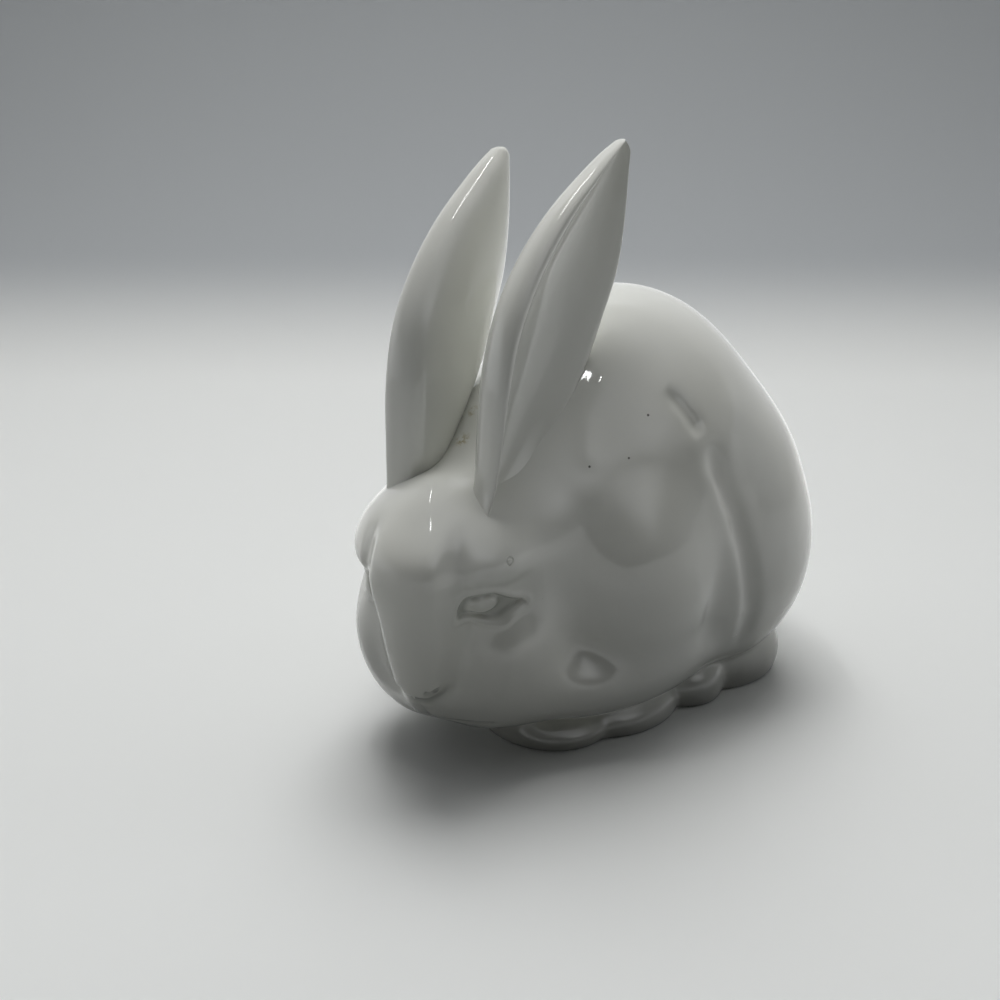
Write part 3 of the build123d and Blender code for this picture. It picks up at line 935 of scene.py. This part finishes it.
# %% Biscuit
clean_biscuit, dirty_biscuit = (0.70, 0.67, 0.60, 1), (0.50, 0.46, 0.38, 1)
biscuit = Finish(bpy.data.materials.new("bare_biscuit"))
grain = biscuit.noise(scale=700.0, detail=4.0, roughness=0.65)
dirt = biscuit.step(biscuit.noise(scale=60.0, detail=3.0), low=0.5, high=0.75)
plate_colour = biscuit.blend(dirt * 0.5, clean_biscuit, dirty_biscuit)
plate_bump = biscuit.node("ShaderNodeBump", None, {"Strength": 0.5, "Distance": 0.0002, "Height": grain},
                          output="Normal")
biscuit.surface(Base_Color=plate_colour, Roughness=0.85, Normal=plate_bump)
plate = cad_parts["base_plate"]
plate.data.materials.clear()
plate.data.materials.append(biscuit.owner)
print("Finish of the base plate:", biscuit.owner.name)

# %% [markdown]
# ## Floor and backdrop
# The photograph was taken on a pale table, with a greyer wall behind. A table and a wall could be two
# flat sheets, but a studio sweep, one sheet that curves up from floor to wall, has no corner that
# shows. Where it turns up into the wall the sheet is painted darker: partly the wall's own grey, partly
# painted shade for a wall that gets less light. To light that it only passes on, the sheet is dark
# close to the rabbit, as a table is in its own shade. Where the glaze mirrors it further out, it glows,
# as a table by a window does. The camera sees neither: to it the sheet is plain paper.

# %% Sweep
level_ahead = -backward * (1, 1, 0)
level_ahead /= np.linalg.norm(level_ahead)
level_aside = np.array([-level_ahead[1], level_ahead[0], 0])
floor_middle = camera_target * (1, 1, 0)
sweep_front, sweep_bend, bend_radius = -1500.0, 360.0, 320.0
sweep_height, sweep_half_width, bend_strips = 1500.0, 1800.0, 31
# The wall colour is darker than the floor: partly the wall's own grey, partly painted shade.
floor_white, wall_grey_and_shade = (0.84, 0.85, 0.835, 1), (0.47, 0.49, 0.505, 1)
shaded_floor, lit_floor = (0.14, 0.145, 0.145, 1), (0.75, 0.76, 0.75, 1)
wall_from, shade_edge = (-0.01, 0.06), (0.06, 0.28)
mirrored_glow = 0.5


def make_sweep():
    bend = [(sweep_bend + bend_radius * math.sin(a), bend_radius * (1 - math.cos(a)))
            for a in np.linspace(0, math.pi / 2, bend_strips + 1)]
    profile = [(sweep_front, 0)] + bend + [(sweep_bend + bend_radius, sweep_height)]
    mesh = bmesh.new()
    rails = []
    for reach, height in profile:
        middle = floor_middle + level_ahead * reach + np.array([0, 0, height])
        rails.append([mesh.verts.new(middle + level_aside * side * sweep_half_width) for side in (-1, 1)])
    for near, far in zip(rails[:-1], rails[1:]):
        mesh.faces.new([near[0], near[1], far[1], far[0]])
    return finish_piece(mesh, "sweep")


sweep = make_sweep()
sheet = Finish(bpy.data.materials.new("sweep_paper"))
wall = sheet.step(sheet.axis(sheet.place(), "Z"), *wall_from)
paper = sheet.blend(wall, floor_white, wall_grey_and_shade)
glossy_ray = sheet.ray("Is Glossy Ray")
seen = sheet.ray("Is Camera Ray") + glossy_ray
far_out = sheet.step(sheet.gap_to(in_metres(floor_middle)), *shade_edge)
unseen = sheet.blend(far_out, shaded_floor, lit_floor)
glow = sheet.blend(glossy_ray * far_out * mirrored_glow, (0, 0, 0, 1), (1, 1, 1, 1))
sheet.surface(Base_Color=sheet.blend(seen, unseen, paper), Roughness=0.9, Emission_Strength=1.0,
              Emission_Color=glow)
sweep.data.materials.append(sheet.owner)
print("Sweep:", len(sweep.data.polygons), "faces,", 2 * sweep_half_width * MM, "m wide")

# %% [markdown]
# ## Light from the room
# Plain light comes in level from beyond the rabbit, as from a bright room behind it, and nearly none
# from elsewhere, so the side towards the camera stays the darker one. A picture of a real room could
# light it too. Here the room is only a few soft steps of a ray's direction, which anyone can move.

# %% Room light
room_white = (0.97, 0.985, 1.0, 1)
light_beyond, light_above, plain_backdrop = 1.25, 0.02, 0.5
beyond_edge = (-0.6, 0.3)
world = bpy.data.worlds.new("room")
bpy.context.scene.world = world
room = Finish(world)
direction = room.node("ShaderNodeTexCoord", output="Generated")
rise = room.axis(direction, "Z")
beyond = 1 - room.step(room.towards(direction, backward * (1, 1, 0)), *beyond_edge)
ambient = beyond * light_beyond + room.step(rise, 0.0, 1.0) * light_above
print("Room light:", light_beyond, "from beyond the rabbit and", light_above, "from above")

# %% [markdown]
# ## What the glaze mirrors
# Glaze shows its surroundings, and most of the rabbit's shape is read from them: a long slanted window
# overhead, brighter towards one end and soft at its edges, then a dim room, then a pale band at the
# horizon that is brightest on the left. Lamps could be hung for each, but they would light the rabbit
# as well. Dividing a ray's direction by its rise gives the place where it meets a flat ceiling, and
# there the window is drawn with straight edges.

# %% Mirrored room
window_start, window_sill = (-0.2, 1.2), (0.08, 0.45)
front_slant, front_edge = 0.285, (-1.7, -0.3)
rear_slant, rear_edge = 0.27, (-0.4, 0.9)
window_light, window_gain, window_gain_edge = 0.8, 1.0, (0.4, 3.0)
room_left, left_edge, left_rise = (-0.7, -0.7, 0), (0.5, 0.95), 0.2
band_edge, band_near_edge = (-0.05, 0.3), (0.6, 1.0)
dim_room, band_light, band_left_gain = 0.25, 0.4, 0.9
ceiling = room.node("ShaderNodeVectorMath", {"operation": "DIVIDE"},
                    {0: direction, 1: room.node("ShaderNodeCombineXYZ", None, {0: rise, 1: rise, 2: rise})})
across, along = room.axis(ceiling, "X"), room.axis(ceiling, "Y")
in_window = (room.step(across, *window_start)
             * room.step(along - across * front_slant, *front_edge)
             * (1 - room.step(along - across * rear_slant, *rear_edge))
             * room.step(rise, *window_sill))
window = in_window * (window_light + room.step(across, *window_gain_edge) * window_gain)
to_left = room.step(room.towards(direction, room_left), *left_edge)
in_band = ((1 - room.step(rise - to_left * left_rise, *band_edge))
           * (1 - room.step(room.axis(direction, "X"), *band_near_edge)))
mirrored_room = dim_room + window + in_band * (band_light + to_left * band_left_gain)
strength = ambient + room.ray("Is Glossy Ray") * (mirrored_room - ambient)
strength = strength + room.ray("Is Camera Ray") * (plain_backdrop - strength)
room.close("ShaderNodeBackground", "ShaderNodeOutputWorld", {"Color": room_white, "Strength": strength})
print("Room:", len(room.tree.nodes), "nodes")

# %% [markdown]
# ## Lamps
# One broad soft lamp hangs over the table a little beyond the rabbit, lights its back and casts a soft
# shadow towards the camera. The glaze doesn't mirror it, since it mirrors the window instead. Two thin
# bars are the ceiling's strip lamps: too weak to light much, but sharp and bright in the glaze. Each is
# set by its two ends, because a reflection's ends are easier to place than its middle and angle.

# %% Lamps
overhead_beyond, overhead_height = 0.34, 1.25
overhead_size, overhead_power = (0.85, 0.7), 9.6
bar_height, bar_width = 710, 12.0
led_start, led_end, led_power = (-290, 55, bar_height), (-30, -124, bar_height), 0.3
glint_start, glint_end, glint_power = (150, -205, bar_height), (162, -230, bar_height), 0.03


def area_lamp(name, width, length, power):
    data = bpy.data.lights.new(name, "AREA")
    data.shape = "RECTANGLE"
    data.size, data.size_y = width, length
    data.energy = power
    made = bpy.data.objects.new(name, data)
    bpy.context.scene.collection.objects.link(made)
    return made


def light_bar(name, start, end, width, power):
    """A thin lamp from start to end, in drawing millimetres, that faces the figure."""
    start, end = Vector(in_metres(start)), Vector(in_metres(end))
    along = (end - start).normalized()
    outward = (start + end) / 2 - Vector(in_metres(camera_target))
    outward = (outward - outward.dot(along) * along).normalized()
    made = area_lamp(name, (end - start).length, width * MM, power)
    made.matrix_world = Matrix((along, outward.cross(along), outward)).transposed().to_4x4()
    made.location = (start + end) / 2


overhead = area_lamp("overhead", *overhead_size, overhead_power)
overhead.location = Vector(floor_middle * MM + level_ahead * overhead_beyond + (0, 0, overhead_height))
lamp_outward = overhead.location - Vector(camera_target * MM)
overhead.rotation_euler = lamp_outward.to_track_quat("Z", "Y").to_euler()
overhead.visible_glossy = False
light_bar("led_bar", led_start, led_end, bar_width, led_power)
light_bar("front_glint", glint_start, glint_end, bar_width, glint_power)
bpy.context.scene.view_settings.view_transform = "Standard"
print("Lamps, W:", {data.name: round(data.energy, 3) for data in bpy.data.lights})
